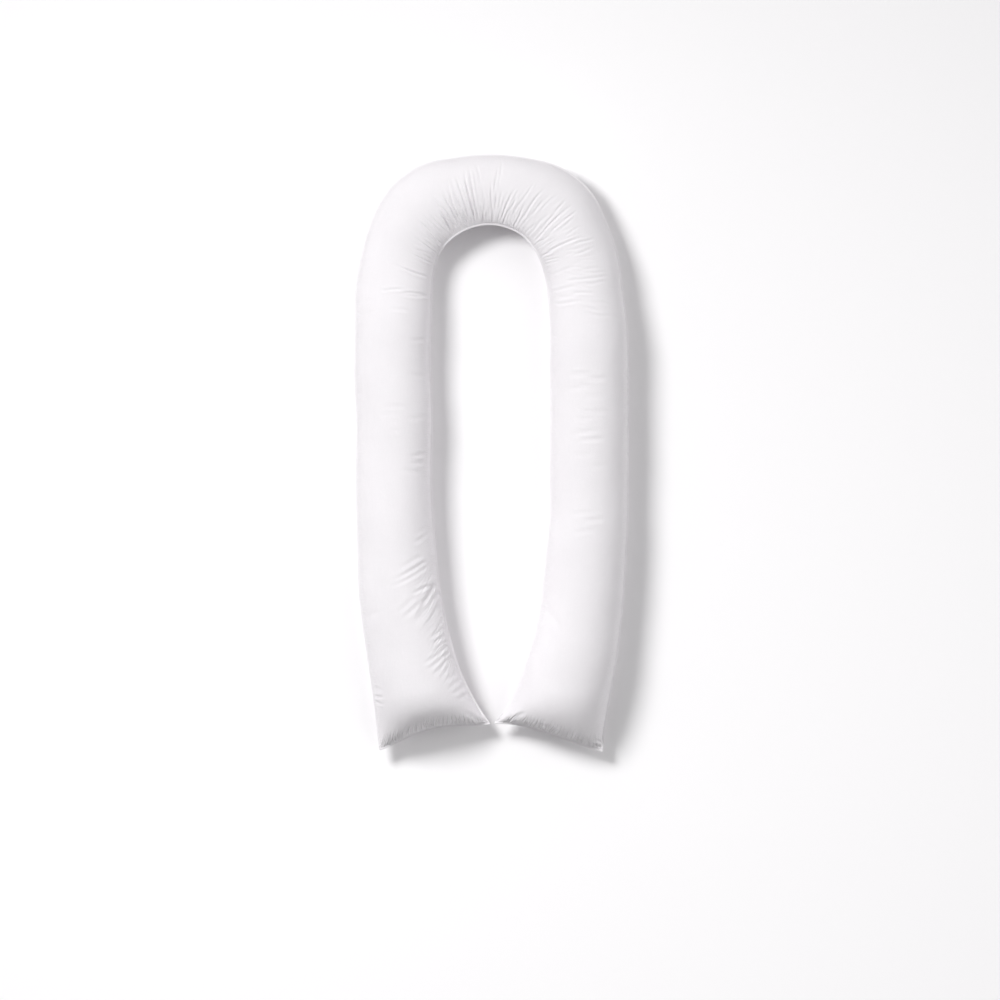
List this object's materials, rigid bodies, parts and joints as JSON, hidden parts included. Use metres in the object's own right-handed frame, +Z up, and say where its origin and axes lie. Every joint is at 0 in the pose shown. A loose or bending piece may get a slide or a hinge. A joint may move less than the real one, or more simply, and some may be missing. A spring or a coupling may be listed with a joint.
{
  "type": "pregnancy pillow",
  "caption": "Long U-shaped body pillow of plain white cotton, stuffed full, with parallel legs, a gathered bend and wide flat-sewn ends whose inner corners almost meet.",
  "frame": {"origin": "on the resting surface, under the middle of the pillow's outline", "axes": "+Z up out of the upper panel, +Y along the legs towards the bend, +X towards the right leg as seen from above with the bend away from the viewer"},
  "size_m": [0.8222, 1.7906, 0.1951],
  "materials": {
    "cotton": "matt plain-woven white cotton"
  },
  "bodies": {
    "root": {"pillow": "cotton"}
  },
  "joints": []
}
